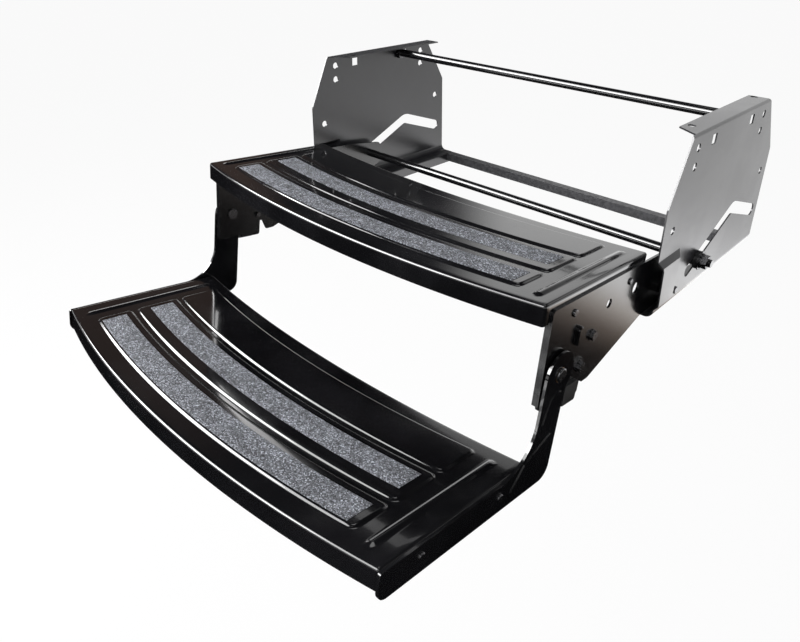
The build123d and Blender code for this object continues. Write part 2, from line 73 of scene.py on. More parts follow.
# Where the pressing's vertices lie: fine steps by the shoulders of pads and beads, coarse ones elsewhere
COLUMN_STEPS = {"fine": 0.9, "coarse": 7.0, "reach": 4.0}
ROW_STEPS = {"fine": 0.8, "coarse": 5.5, "reach": 3.8}
PAD_SHOULDER = 1.2
BEAD_SHOULDER = 3.5
SLIT_GAP = 1.2
ROLL_ANGLES = [math.radians(degrees) for degrees in (18, 36, 54, 72, 90)]
CORNER_ANGLES = [math.radians(degrees) for degrees in (22.5, 45, 67.5)]
FLANGE_LEVELS = (9, SLIT_TOP, 20, 25, 30.5, 36)
SHEET_SHARP = math.radians(50)

# The even rows end here, and the last ones share out what is left. The side flange ends at the last but one
EVEN_ROWS_END = 225.0
LAST_ROWS = (0.4, 0.75, 1.0)

# The left and the right side: the way outward, and the place of its column
SIDES = ((-1, 0), (1, -1))

# The grit strips
STRIP_STARTS = (30, 102)
STRIP_WIDTH = 35
STRIP_HALF_LENGTH = 251
STRIP_THICKNESS = 1
GRAIN_STEP = 1.5
GRAINS_PER_MM = 0.9
GRAIN_DEPTH = 0.22
STRIP_EDGE_DROP = 0.35
STRIP_EDGE_WIDTH = 1.5
STRIP_SHARP = math.radians(60)


# Shader nodes

def new_node(tree, kind, **settings):
    """A node of that kind with its settings made."""
    made = tree.nodes.new(kind)
    for key, value in settings.items():
        setattr(made, key, value)
    return made


def feed(tree, made, **inputs):
    """Fills a node's sockets, by name or as n0, n1 and so on, with values or other nodes' outputs."""
    for key, value in inputs.items():
        by_number = key[0] == "n" and key[1:].isdigit()
        socket = made.inputs[int(key[1:]) if by_number else key.replace("_", " ")]
        if isinstance(value, bpy.types.NodeSocket):
            tree.links.new(value, socket)
        else:
            socket.default_value = value
    return made


def worked_out(tree, operation, first, second):
    """The result of a sum, product or the like of two values."""
    made = new_node(tree, "ShaderNodeMath", operation=operation)
    return feed(tree, made, n0=first, n1=second).outputs[0]


def remap(tree, value, low, high, to_low=0.0, to_high=1.0):
    """The value carried smoothly from one range to another."""
    made = new_node(tree, "ShaderNodeMapRange", interpolation_type="SMOOTHSTEP")
    feed(tree, made, Value=value, From_Min=low, From_Max=high, To_Min=to_low, To_Max=to_high)
    return made.outputs[0]


def noise_at(tree, scale, detail=2.0, roughness=0.5):
    """Cloudy noise that stays with the piece."""
    where = new_node(tree, "ShaderNodeTexCoord").outputs["Object"]
    made = new_node(tree, "ShaderNodeTexNoise")
    feed(tree, made, Vector=where, Scale=scale, Detail=detail, Roughness=roughness)
    return made.outputs["Fac"]


def colour_ramp(tree, factor, stops):
    """A ramp through its stops, each a place and a colour."""
    made = new_node(tree, "ShaderNodeValToRGB")
    ends = made.color_ramp.elements
    ends[0].position, ends[1].position = stops[0][0], stops[-1][0]
    ends[0].color, ends[1].color = stops[0][1], stops[-1][1]
    for place, colour in stops[1:-1]:
        ends.new(place).color = colour
    return feed(tree, made, Fac=factor)


def mixed_colour(tree, factor, first, second):
    """The first colour, going over to the second as the factor rises from 0 to 1."""
    made = new_node(tree, "ShaderNodeMix", data_type="RGBA")
    return feed(tree, made, n0=factor, n6=first, n7=second).outputs[2]


def new_group(name, inputs, outputs):
    """A shader node group: the names of its inputs with their usual values, and the names of its outputs."""
    tree = bpy.data.node_groups.new(name, "ShaderNodeTree")
    for label, value in inputs.items():
        socket = tree.interface.new_socket(name=label, in_out="INPUT", socket_type="NodeSocketFloat")
        socket.default_value = value
    for label in outputs:
        tree.interface.new_socket(name=label, in_out="OUTPUT", socket_type="NodeSocketFloat")
    return tree, tree.nodes.new("NodeGroupInput"), tree.nodes.new("NodeGroupOutput")


def placed(tree, group, **values):
    """A shared effect put into a material, with that material's own values."""
    made = new_node(tree, "ShaderNodeGroup", node_tree=group)
    return feed(tree, made, **values)


def enamel_skin():
    """Orange peel of sprayed enamel, with slow changes of gloss from the oven."""
    tree, given, gives = new_group("enamel_skin", {"Peel": 380.0}, ["Height", "Gloss"])
    peel = noise_at(tree, scale=given.outputs["Peel"], detail=1.5, roughness=0.4)
    slow = noise_at(tree, scale=9.0, detail=3.0, roughness=0.55)
    feed(tree, gives, Height=peel, Gloss=remap(tree, slow, 0.35, 0.68))
    return tree


def painted_edge_highlight():
    """Painted edge highlight: a mask where the surface turns sharply, broken up by noise."""
    tree, given, gives = new_group("painted_edge_highlight", {"Width": 0.001, "Breakup": 90.0}, ["Mask"])
    rounded = feed(tree, new_node(tree, "ShaderNodeBevel", samples=4), Radius=given.outputs["Width"])
    flat = new_node(tree, "ShaderNodeNewGeometry").outputs["Normal"]
    turn = new_node(tree, "ShaderNodeVectorMath", operation="DOT_PRODUCT")
    feed(tree, turn, n0=rounded.outputs[0], n1=flat)
    sharp = remap(tree, turn.outputs["Value"], 0.995, 0.86)
    speckle = noise_at(tree, scale=given.outputs["Breakup"], detail=4.0)
    feed(tree, gives, Mask=worked_out(tree, "MULTIPLY", sharp, remap(tree, speckle, 0.42, 0.66)))
    return tree


def handling_marks():
    """Faint wiping marks and dust that dull the gloss here and there."""
    tree, given, gives = new_group("handling_marks", {"Size": 14.0}, ["Mask"])
    where = new_node(tree, "ShaderNodeTexCoord").outputs["Object"]
    stretched = new_node(tree, "ShaderNodeMapping")
    feed(tree, stretched, Vector=where, Scale=(1.0, 0.35, 1.0))
    cloud = new_node(tree, "ShaderNodeTexNoise")
    feed(tree, cloud, Vector=stretched.outputs[0], Scale=given.outputs["Size"], Detail=5.0, Roughness=0.6)
    feed(tree, gives, Mask=remap(tree, cloud.outputs["Fac"], 0.5, 0.75))
    return tree


def grit_grains():
    """Mineral grains in the tape's coat: a grey for each grain and the grains' height."""
    tree, given, gives = new_group("grit_grains", {"Grain": 900.0}, ["Shade", "Height"])
    where = new_node(tree, "ShaderNodeTexCoord").outputs["Object"]
    cells = new_node(tree, "ShaderNodeTexVoronoi", feature="F1")
    feed(tree, cells, Vector=where, Scale=given.outputs["Grain"])
    picked = new_node(tree, "ShaderNodeSeparateColor")
    feed(tree, picked, Color=cells.outputs["Color"])
    greys = ((0.0, 0.02), (0.30, 0.09), (0.62, 0.19), (0.86, 0.36), (0.97, 0.75))
    shade = colour_ramp(tree, picked.outputs[0], [(place, (grey, grey, grey, 1)) for place, grey in greys])
    patch = noise_at(tree, scale=60.0, roughness=0.6)
    toned = worked_out(tree, "MULTIPLY", shade.outputs[0], remap(tree, patch, 0.3, 0.7, 0.75, 1.2))
    feed(tree, gives, Shade=toned, Height=cells.outputs["Distance"])
    return tree


SKIN = enamel_skin()
EDGE_HIGHLIGHT_GROUP = painted_edge_highlight()
MARKS = handling_marks()
GRAINS = grit_grains()


# Materials

# Painted edge highlights: the grey mixed into the enamel's edges, the grey for the fasteners' edges, and the
# enamel's share of it
EDGE_HIGHLIGHT_GREY = (0.11, 0.105, 0.1, 1)
FASTENER_EDGE_HIGHLIGHT = (0.30, 0.29, 0.28, 1)
ENAMEL_EDGE_HIGHLIGHT_SHARE = 0.35
MARKS_DULL = 0.06


def new_material(name):
    """A material with an empty node tree."""
    material = bpy.data.materials.new(name)
    material.use_nodes = True
    tree = material.node_tree
    tree.nodes.clear()
    return material, tree


def finished(tree, shader):
    """Puts the shader on the material's surface."""
    out = new_node(tree, "ShaderNodeOutputMaterial")
    tree.links.new(shader, out.inputs["Surface"])


def bumped(tree, height, strength, distance):
    """A normal that follows the height, as a bump of that distance in metres."""
    made = new_node(tree, "ShaderNodeBump")
    return feed(tree, made, Height=height, Strength=strength, Distance=distance).outputs[0]


def shaded(colour, times):
    """The colour made darker or lighter, times so much."""
    return [times * part for part in colour[:3]] + [1]


def enamel(name, dark, light, rough, coat, peel):
    """Baked black enamel on steel, from dark to light over the surface, with a little painted highlight on
    its edges.

    rough is the range of roughness, coat is weight, IOR and roughness, and peel is scale and strength.
    """
    material, tree = new_material(name)
    skin = placed(tree, SKIN, Peel=peel[0])
    marks = placed(tree, MARKS)
    edge_light_mask = placed(tree, EDGE_HIGHLIGHT_GROUP, Width=0.0011)
    colour = mixed_colour(tree, skin.outputs["Gloss"], dark, light)
    # Painted highlight on the sharp edges, a share of grey
    colour = mixed_colour(tree, worked_out(tree, "MULTIPLY", edge_light_mask.outputs[0], ENAMEL_EDGE_HIGHLIGHT_SHARE), colour, EDGE_HIGHLIGHT_GREY)
    base_rough = remap(tree, skin.outputs["Gloss"], 0.0, 1.0, rough[0], rough[1])
    dulled = new_node(tree, "ShaderNodeMath", operation="MULTIPLY_ADD")
    feed(tree, dulled, n0=marks.outputs[0], n1=MARKS_DULL, n2=base_rough)
    shader = new_node(tree, "ShaderNodeBsdfPrincipled")
    feed(tree, shader, Base_Color=colour, Roughness=dulled.outputs[0])
    feed(tree, shader, Normal=bumped(tree, skin.outputs["Height"], peel[1], 0.0004))
    feed(tree, shader, Coat_Weight=coat[0], Coat_IOR=coat[1], Coat_Roughness=coat[2])
    finished(tree, shader.outputs[0])
    return material


def dark_metal(name, colour, metallic, rough):
    """Blackened steel of bolts, nuts, pins, rivets and the rear bar."""
    material, tree = new_material(name)
    edge_light_mask = placed(tree, EDGE_HIGHLIGHT_GROUP, Width=0.0007, Breakup=220.0)
    cloud = noise_at(tree, scale=160.0, detail=3.0, roughness=0.6)
    toned = mixed_colour(tree, remap(tree, cloud, 0.3, 0.7), colour, shaded(colour, 0.55))
    # Painted highlight on the sharp edges
    toned = mixed_colour(tree, edge_light_mask.outputs[0], toned, FASTENER_EDGE_HIGHLIGHT)
    shader = new_node(tree, "ShaderNodeBsdfPrincipled")
    feed(tree, shader, Base_Color=toned, Metallic=metallic)
    feed(tree, shader, Roughness=remap(tree, cloud, 0.2, 0.8, rough[0], rough[1]))
    feed(tree, shader, Normal=bumped(tree, noise_at(tree, scale=900.0), 0.12, 0.0003))
    finished(tree, shader.outputs[0])
    return material


def moulded_plastic(name, colour):
    """Black nylon with a fine moulded grain."""
    material, tree = new_material(name)
    cloud = noise_at(tree, scale=45.0, detail=3.0)
    grain = noise_at(tree, scale=1400.0, detail=1.0)
    toned = mixed_colour(tree, remap(tree, cloud, 0.3, 0.7), colour, shaded(colour, 1.7))
    shader = new_node(tree, "ShaderNodeBsdfPrincipled")
    feed(tree, shader, Base_Color=toned, Roughness=remap(tree, cloud, 0.2, 0.8, 0.38, 0.55))
    feed(tree, shader, Normal=bumped(tree, grain, 0.25, 0.0003))
    finished(tree, shader.outputs[0])
    return material


def grit_tape(name):
    """Anti-slip tape: mineral grains set in a black coat."""
    material, tree = new_material(name)
    grains = placed(tree, GRAINS, Grain=850.0)
    colour = mixed_colour(tree, grains.outputs["Shade"], (0.006, 0.006, 0.007, 1), (0.76, 0.80, 0.90, 1))
    shader = new_node(tree, "ShaderNodeBsdfPrincipled")
    feed(tree, shader, Base_Color=colour)
    feed(tree, shader, Roughness=remap(tree, grains.outputs["Shade"], 0.0, 0.6, 0.85, 0.45))
    feed(tree, shader, Normal=bumped(tree, grains.outputs["Height"], 0.8, 0.0006))
    finished(tree, shader.outputs[0])
    return material


def bush_metal(name):
    """Oiled sintered bronze."""
    material, tree = new_material(name)
    pores = noise_at(tree, scale=1800.0, roughness=0.6)
    toned = mixed_colour(tree, remap(tree, pores, 0.35, 0.65), (0.20, 0.115, 0.05, 1), (0.36, 0.22, 0.10, 1))
    shader = new_node(tree, "ShaderNodeBsdfPrincipled")
    feed(tree, shader, Base_Color=toned, Metallic=0.9, Roughness=remap(tree, pores, 0.2, 0.8, 0.3, 0.5))
    feed(tree, shader, Normal=bumped(tree, pores, 0.2, 0.0002))
    finished(tree, shader.outputs[0])
    return material


ENAMEL_BLACK = (0.0045, 0.0045, 0.0052, 1)
GLOSS = enamel("gloss_black_enamel", ENAMEL_BLACK, (0.0085, 0.0085, 0.0098, 1),
               rough=(0.10, 0.17), coat=(0.8, 1.6, 0.05), peel=(420.0, 0.05))
SEMI = enamel("semi_gloss_black_enamel", ENAMEL_BLACK, (0.008, 0.008, 0.0092, 1),
              rough=(0.2, 0.26), coat=(0.5, 1.55, 0.12), peel=(420.0, 0.04))
SATIN = enamel("satin_black_enamel", (0.016, 0.016, 0.019, 1), (0.023, 0.023, 0.027, 1),
               rough=(0.29, 0.35), coat=(0.6, 1.65, 0.22), peel=(700.0, 0.03))
FASTENER = dark_metal("blackened_fastener", (0.17, 0.17, 0.178, 1), metallic=0.95, rough=(0.18, 0.3))
BAR_STEEL = dark_metal("phosphated_bar", (0.13, 0.13, 0.138, 1), metallic=0.45, rough=(0.32, 0.42))
PLASTIC = moulded_plastic("moulded_black_nylon", (0.011, 0.011, 0.012, 1))
TAPE = grit_tape("grit_tape_grains")
BUSH = bush_metal("oiled_bronze")

NODE_FINISHES = {
    SATIN: ("right_side_plate", "left_side_plate"),
    BAR_STEEL: ("rear_cross_bar",),
    GLOSS: ("top_cross_rod", "carriage_rod", "right_step_arm", "left_step_arm"),
    SEMI: ("right_carriage_bracket", "left_carriage_bracket", "stop_backings"),
    FASTENER: ("top_rod_nuts", "glide_rivets", "upper_tread_rivets", "bracket_bolts", "stop_bolts",
               "rod_washers", "rod_nuts", "pivot_pins", "lower_tread_rivets"),
    PLASTIC: ("glide_pads", "right_stop_pad", "left_stop_pad", "pivot_spacers", "right_slot_roller",
              "left_slot_roller"),
    BUSH: ("arm_bushes",),
}

ROUNDED_ABOVE = math.radians(40)

# Edge rounding of the sheet parts, the bar, the pads and the fasteners, in millimetres
EDGE_ROUNDS = {
    0.45: ("right_side_plate", "left_side_plate", "right_carriage_bracket", "left_carriage_bracket",
           "right_step_arm", "left_step_arm"),
    0.35: ("bracket_bolts", "stop_bolts", "rod_nuts", "top_rod_nuts", "stop_backings", "rear_cross_bar",
           "glide_pads", "right_stop_pad", "left_stop_pad"),
}


def finish_nodes():
    """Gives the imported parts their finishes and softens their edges."""
    for material, names in NODE_FINISHES.items():
        for name in names:
            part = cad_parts[name]
            for slot in part.material_slots:
                slot.material = material
    for width, names in EDGE_ROUNDS.items():
        for name in names:
            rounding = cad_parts[name].modifiers.new("edge_round", "BEVEL")
            rounding.width = width * MM
            rounding.segments = 2
            rounding.limit_method = "ANGLE"
            rounding.angle_limit = ROUNDED_ABOVE
            rounding.harden_normals = True


# Pressed treads

def bow(x, half, depth):
    """How far an edge bowed forward by depth lies in front of its corners at x."""
    radius = (half ** 2 + depth ** 2) / (2 * depth)
    return math.sqrt(radius ** 2 - x ** 2) - (radius - depth)


def smooth(t):
    """From 0 to 1 as t goes from 0 to 1, level at both ends."""
    t = min(max(t, 0.0), 1.0)
    return t * t * (3 - 2 * t)


def pad_height(x, behind):
    """Height of the raised pads over the sheet, at x and at a distance behind the front edge."""
    total = 0.0
    for start, width in PAD_BANDS:
        across = abs(x) - (PAD_HALF_LENGTH - PAD_CORNER)
        along = abs(behind - start - width / 2) - (width / 2 - PAD_CORNER)
        outside = math.hypot(max(across, 0), max(along, 0)) + min(max(across, along), 0) - PAD_CORNER
        total += PAD_RISE * smooth((PAD_FOOT - outside) / PAD_SLOPE)
    return total


def bead_height(x, y):
    """Height of the two stiffening beads near the ends."""
    past = max(BEAD_ENDS[0] - y, y - BEAD_ENDS[1], 0)
    away = math.hypot(abs(x) - BEAD_X, past)
    return BEAD_RISE * math.cos(math.pi / 2 * min(away / BEAD_REACH, 1)) ** 2


def spread(low, high, step):
    """Even positions from low to high, no further apart than the step."""
    count = max(1, math.ceil((high - low) / step))
    return [low + (high - low) * i / count for i in range(count + 1)]


def stations(low, high, marks, fine, coarse, reach):
    """Positions from low to high, close together near the marks and wide apart elsewhere."""
    edges = sorted({low, high} | {min(max(m + s * reach, low), high) for m in marks for s in (-1, 1)})
    made = []
    for first, second in zip(edges, edges[1:]):
        middle = (first + second) / 2
        near = any(abs(middle - m) < reach for m in marks)
        made += spread(first, second, fine if near else coarse)[:-1]
    return made + [high]


def to_world(tread, point):
    """From the tread's own place, in millimetres, to the model's frame in metres."""
    x, y, z = point
    turn = Matrix.Rotation(math.radians(-tread["tilt"]), 4, "X")
    at = turn @ Vector((x, y + tread["front"], z + tread["top"]))
    return (at + Vector(PIVOT)) * MM


def tread_columns(half):
    """Where the columns of vertices lie across the tread."""
    edge = half - ROLL
    marks = [PAD_HALF_LENGTH - PAD_SHOULDER, BEAD_X - BEAD_SHOULDER, BEAD_X + BEAD_SHOULDER]
    return stations(-edge, edge, [side * mark for mark in marks for side in (-1, 1)], **COLUMN_STEPS)


def tread_rows(relief):
    """The rows of vertices: a distance behind the front edge, and a share of the last stretch to the rear."""
    marks = [start + inset for start, width in PAD_BANDS for inset in (PAD_SHOULDER, width - PAD_SHOULDER)]
    slit = [end for end in (relief - SLIT, relief) if end > ROLL]
    even = stations(ROLL, EVEN_ROWS_END, marks, **ROW_STEPS)
    even = sorted([row for row in even if min(abs(row - end) for end in slit) > SLIT_GAP] + slit)
    return [(row, 0.0) for row in even] + [(EVEN_ROWS_END, share) for share in LAST_ROWS]


def top_point(tread, x, row):
    """A point on the sheet's upper face."""
    behind, share = row
    front = -bow(x, tread["half"], FRONT_BOW)
    rear = DEPTH - bow(x, tread["half"], REAR_BOW) - ROLL
    y = front + behind + (rear - front - EVEN_ROWS_END) * share
    return x, y, pad_height(x, y - front) + bead_height(x, y)


def rolled_edge(start, outward, depth):
    """The points that go outward from start, over the roll and down the flange."""
    x, y = start[:2]
    points = []
    for angle in ROLL_ANGLES:
        push = ROLL * math.sin(angle)
        points.append((x + outward[0] * push, y + outward[1] * push, ROLL * math.cos(angle) - ROLL))
    foot = (x + outward[0] * ROLL, y + outward[1] * ROLL)
    return points + [(*foot, -level) for level in FLANGE_LEVELS if level <= depth]


def vertices(mesh, tread, points):
    """A line of vertices at points given in the tread's own place."""
    return [mesh.verts.new(to_world(tread, point)) for point in points]


def sew(mesh, first, second, wanted=None):
    """Faces between two neighbouring lines of vertices, all of them or only the wanted ones."""
    for i in range(len(first) - 1):
        if wanted is None or wanted[i]:
            mesh.faces.new((first[i], second[i], second[i + 1], first[i + 1]))


def rim_lines(mesh, tread, top_line, starts, outward, depth):
    """The sheet's own edge and the lines of vertices below it, over the roll and down the flange."""
    edges = [rolled_edge(start, outward, depth) for start in starts]
    return [top_line] + [vertices(mesh, tread, level) for level in zip(*edges)]


def end_rim(mesh, tread, top_line, starts, forward, depth):
    """The front or rear roll and its flange."""
    lines = rim_lines(mesh, tread, top_line, starts, (0, forward), depth)
    for upper, lower in zip(lines, lines[1:]):
        sew(mesh, upper, lower)
    return lines


def side_stands(tread, near, far, depth):
    """Whether the side has metal between two rows, down to that depth. The roll is at depth 0."""
    before_slit = far[0] <= tread["relief"] - SLIT and depth <= FRONT_FLANGE
    above_slit = far[0] <= tread["relief"] and depth <= SLIT_TOP
    behind_slit = near[0] >= tread["relief"] and far[1] < LAST_ROWS[-1]
    return depth == 0 or before_slit or above_slit or behind_slit


def side_rim(mesh, tread, rows, top_line, starts, side):
    """A side's roll and flange, slit near the front and cut back at the rear."""
    lines = rim_lines(mesh, tread, top_line, starts, (side, 0), SIDE_FLANGE)
    depths = [0] * len(ROLL_ANGLES) + list(FLANGE_LEVELS)
    for upper, lower, depth in zip(lines, lines[1:], depths):
        sew(mesh, upper, lower, [side_stands(tread, near, far, depth) for near, far in zip(rows, rows[1:])])
    return lines


def corner_ribs(mesh, tread, start, side, forward, depth):
    """The lines of vertices down a rounded corner, between its two flanges."""
    ribs = []
    for turn in CORNER_ANGLES:
        outward = (side * math.sin(turn), forward * math.cos(turn))
        ribs.append(vertices(mesh, tread, rolled_edge(start, outward, depth)))
    return ribs


def close_corner(mesh, centre, ribs):
    """The faces of a corner, a fan about the sheet's own corner and the strips below it."""
    for first, second in zip(ribs, ribs[1:]):
        mesh.faces.new((centre, first[0], second[0]))
        sew(mesh, first, second)


def pressed_sheet(tread):
    """The sheet's upper side with its pads, beads, rolled rims, flanges and corners."""
    mesh = bmesh.new()
    rows = tread_rows(tread["relief"])
    points = [[top_point(tread, x, row) for row in rows] for x in tread_columns(tread["half"])]
    grid = [vertices(mesh, tread, column) for column in points]
    for left, right in zip(grid, grid[1:]):
        sew(mesh, left, right)
    ends = []
    for row, forward, depth in ((0, -1, FRONT_FLANGE), (-1, 1, REAR_FLANGE)):
        starts = [column[row] for column in points]
        lines = end_rim(mesh, tread, [column[row] for column in grid], starts, forward, depth)
        ends.append((lines, row, forward, depth))
    sides = [side_rim(mesh, tread, rows, grid[i], points[i], side) for side, i in SIDES]
    for (side, i), side_lines in zip(SIDES, sides):
        for lines, row, forward, depth in ends:
            ribs = [[line[i] for line in lines[1:]]]
            ribs += corner_ribs(mesh, tread, points[i][row], side, forward, depth)
            ribs.append([line[row] for line in side_lines[1:len(lines)]])
            close_corner(mesh, grid[i][row], ribs)
    return mesh


def pressed_tread(name, tread, node):
    """The pressed sheet given its thickness, in place of the solid tread."""
    mesh = pressed_sheet(tread)
    bmesh.ops.delete(mesh, geom=[v for v in mesh.verts if not v.link_faces], context="VERTS")
    bmesh.ops.recalc_face_normals(mesh, faces=mesh.faces)
    broadest = max(mesh.faces, key=lambda face: face.calc_area())
    if broadest.normal.z < 0:
        bmesh.ops.reverse_faces(mesh, faces=mesh.faces)
    piece = shown_mesh(name, mesh, GLOSS)
    thick = piece.modifiers.new("sheet", "SOLIDIFY")
    thick.thickness = SHEET * MM
    thick.offset = -1
    thick.use_even_offset = False
    settle(piece)
    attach(piece, tread["body"])
    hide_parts(node)


def shown_mesh(name, mesh, material):
    """A smooth-shaded object made from the mesh."""
    data = bpy.data.meshes.new(name)
    mesh.to_mesh(data)
    mesh.free()
    data.materials.append(material)
    for face in data.polygons:
        face.use_smooth = True
    piece = bpy.data.objects.new(name, data)
    bpy.context.scene.collection.objects.link(piece)
    return piece


def settle(piece):
    """Applies the piece's modifiers and keeps its cut edges sharp."""
    graph = bpy.context.evaluated_depsgraph_get()
    data = bpy.data.meshes.new_from_object(piece.evaluated_get(graph))
    piece.modifiers.clear()
    piece.data = data
    data.set_sharp_from_angle(angle=SHEET_SHARP)


def border_spots(columns, rows):
    """The spots round the edge of a grid of that many columns and rows, in order."""
    spots = [(i, 0) for i in range(columns)]
    spots += [(columns - 1, j) for j in range(1, rows)]
    spots += [(i, rows - 1) for i in range(columns - 2, -1, -1)]
    spots += [(0, j) for j in range(rows - 2, 0, -1)]
    return spots


def grain_height(x, row, seed):
    """Height of the tape's rough coat, at x and at a distance behind the strip's own edge."""
    rim = min(row, STRIP_WIDTH - row, STRIP_HALF_LENGTH - abs(x))
    rough = noise.noise(Vector((x * GRAINS_PER_MM, row * GRAINS_PER_MM, seed))) * GRAIN_DEPTH
    worn = STRIP_EDGE_DROP * smooth(1 - rim / STRIP_EDGE_WIDTH)
    return PAD_RISE + STRIP_THICKNESS - GRAIN_DEPTH + rough - worn


def strip_point(tread, x, behind, z):
    """A point at a distance behind the tread's bowed front edge."""
    return x, behind - bow(x, tread["half"], FRONT_BOW), z


def grit_strip(name, tread, start, node, seed):
    """A strip of grit tape that follows the pad, its coat rough with grains."""
    columns = spread(-STRIP_HALF_LENGTH, STRIP_HALF_LENGTH, GRAIN_STEP)
    rows = spread(0, STRIP_WIDTH, GRAIN_STEP)
    mesh = bmesh.new()
    top = []
    for x in columns:
        column = [strip_point(tread, x, start + row, grain_height(x, row, seed)) for row in rows]
        top.append(vertices(mesh, tread, column))
    spots = border_spots(len(columns), len(rows))
    upper = [top[i][j] for i, j in spots]
    foot = [strip_point(tread, columns[i], start + rows[j], PAD_RISE) for i, j in spots]
    lower = vertices(mesh, tread, foot)
    for left, right in zip(top, top[1:]):
        sew(mesh, left, right)
    sew(mesh, upper + upper[:1], lower + lower[:1])
    mesh.faces.new(lower[::-1])
    bmesh.ops.recalc_face_normals(mesh, faces=mesh.faces)
    piece = shown_mesh(name, mesh, TAPE)
    piece.data.set_sharp_from_angle(angle=STRIP_SHARP)
    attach(piece, tread["body"])
    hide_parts(node)


# Studio

FLOOR_HEIGHT = -1.15
FLOOR_RADIUS = 14.0
FLOOR_WHITENESS = 0.93
WALL_LIGHT = 0.32
LAMP_AIM = (0, -0.25, -0.15)

# The painted reflections under the step, a glowing disc seen only in reflections: its colours, dark, brown,
# white and grey, run over this span, in metres to the back
PAINTED_FLOOR_SPAN = (0.75, 2.65)
PAINTED_FLOOR_GLOW = 2.4
PAINTED_FLOOR_COLOURS = (
    (0.0, (0.002, 0.002, 0.0022, 1)),
    (0.1, (0.01, 0.008, 0.007, 1)),
    (0.184, (0.13, 0.1, 0.08, 1)),
    (0.26, (0.5, 0.45, 0.41, 1)),
    (0.36, (1.0, 1.0, 1.0, 1)),
    (0.6, (0.7, 0.7, 0.71, 1)),
    (1.0, (0.42, 0.42, 0.42, 0)),
)
PAINTED_FLOOR_RADIUS = 7.0
PAINTED_FLOOR_LIFT = 0.05

# The dome of painted dark reflections, as seen from the step: each pair is where a part of it begins and
# where it is whole. Sides are in radians to the left of straight back, and top and foot in the sine of the
# angle upward
PAINTED_DOME_TOP = (0.38, 0.60)
PAINTED_DOME_LEFT = (0.54, 0.68)
PAINTED_DOME_RIGHT = (-0.35, -0.7)
PAINTED_DOME_FOOT = (0.03, 0.13)
PAINTED_DOME_GREY = (0.016, 0.016, 0.018, 1)
# The painted brown reflection on the dome's left: its sides, its top and its colour
BROWN_REFLECTION_SIDES = ((0.9, 1.0), (1.75, 1.55))
BROWN_REFLECTION_TOP = (0.62, 0.42)
BROWN_REFLECTION_COLOUR = (0.085, 0.06, 0.05, 1)
PAINTED_DOME_RADIUS = 10.0
PAINTED_DOME_RIM = -0.5


def reflected_only(piece):
    """Makes a piece of the studio show only in reflections."""
    piece.visible_camera = False
    piece.visible_diffuse = False
    piece.visible_transmission = False
    piece.visible_volume_scatter = False
    piece.visible_shadow = False


def background_light(tree):
    """1 for rays that should see the white background, from the camera or by way of metal and glass."""
    path = new_node(tree, "ShaderNodeLightPath").outputs
    seen = worked_out(tree, "MAXIMUM", path["Is Camera Ray"], path["Is Glossy Ray"])
    return worked_out(tree, "MAXIMUM", seen, path["Is Transmission Ray"])


def disc_object(name, radius, height, material):
    """A round level piece of the studio, not of the step."""
    mesh = bmesh.new()
    bmesh.ops.create_circle(mesh, cap_ends=True, segments=96, radius=radius)
    bmesh.ops.translate(mesh, vec=(0, 0, height), verts=mesh.verts)
    piece = shown_mesh(name, mesh, material)
    return piece


def glow_shader(tree, colour, strength=1.0):
    """A surface that gives off light of its own."""
    return feed(tree, new_node(tree, "ShaderNodeEmission"), Color=colour, Strength=strength).outputs[0]


def mixed_shader(tree, share, first, second):
    """The first shader, going over to the second as the share rises from 0 to 1."""
    return feed(tree, new_node(tree, "ShaderNodeMixShader"), n0=share, n1=first, n2=second).outputs[0]


def floor():
    """The pale floor, lifted to white for the camera, with the step's soft shadow kept."""
    material, tree = new_material("studio_floor")
    matt = feed(tree, new_node(tree, "ShaderNodeBsdfDiffuse"), Color=(0.86, 0.86, 0.87, 1))
    glow = glow_shader(tree, (1, 1, 1, 1))
    lift = worked_out(tree, "MULTIPLY", background_light(tree), FLOOR_WHITENESS)
    finished(tree, mixed_shader(tree, lift, matt.outputs[0], glow))
    disc_object("studio_floor", FLOOR_RADIUS, FLOOR_HEIGHT, material)


def painted_floor_reflection():
    """A glowing disc over the floor, seen only in reflections, that paints the step's reflections: dark under
    the step, a brown band and a bright band towards the back.
    """
    material, tree = new_material("painted_floor_reflection_disc")
    split = new_node(tree, "ShaderNodeSeparateXYZ")
    feed(tree, split, n0=new_node(tree, "ShaderNodeNewGeometry").outputs["Position"])
    back = feed(tree, new_node(tree, "ShaderNodeMapRange"), Value=split.outputs["Y"])
    feed(tree, back, From_Min=PAINTED_FLOOR_SPAN[0], From_Max=PAINTED_FLOOR_SPAN[1])
    # Painted reflections: dark, then brown, then white and grey, glowing, by distance to the back
    shade = colour_ramp(tree, back.outputs[0], PAINTED_FLOOR_COLOURS)
    clear = new_node(tree, "ShaderNodeBsdfTransparent").outputs[0]
    glow = glow_shader(tree, shade.outputs["Color"], PAINTED_FLOOR_GLOW)
    finished(tree, mixed_shader(tree, shade.outputs["Alpha"], clear, glow))
    reflected_only(disc_object("painted_floor_reflection_disc", PAINTED_FLOOR_RADIUS, FLOOR_HEIGHT + PAINTED_FLOOR_LIFT, material))


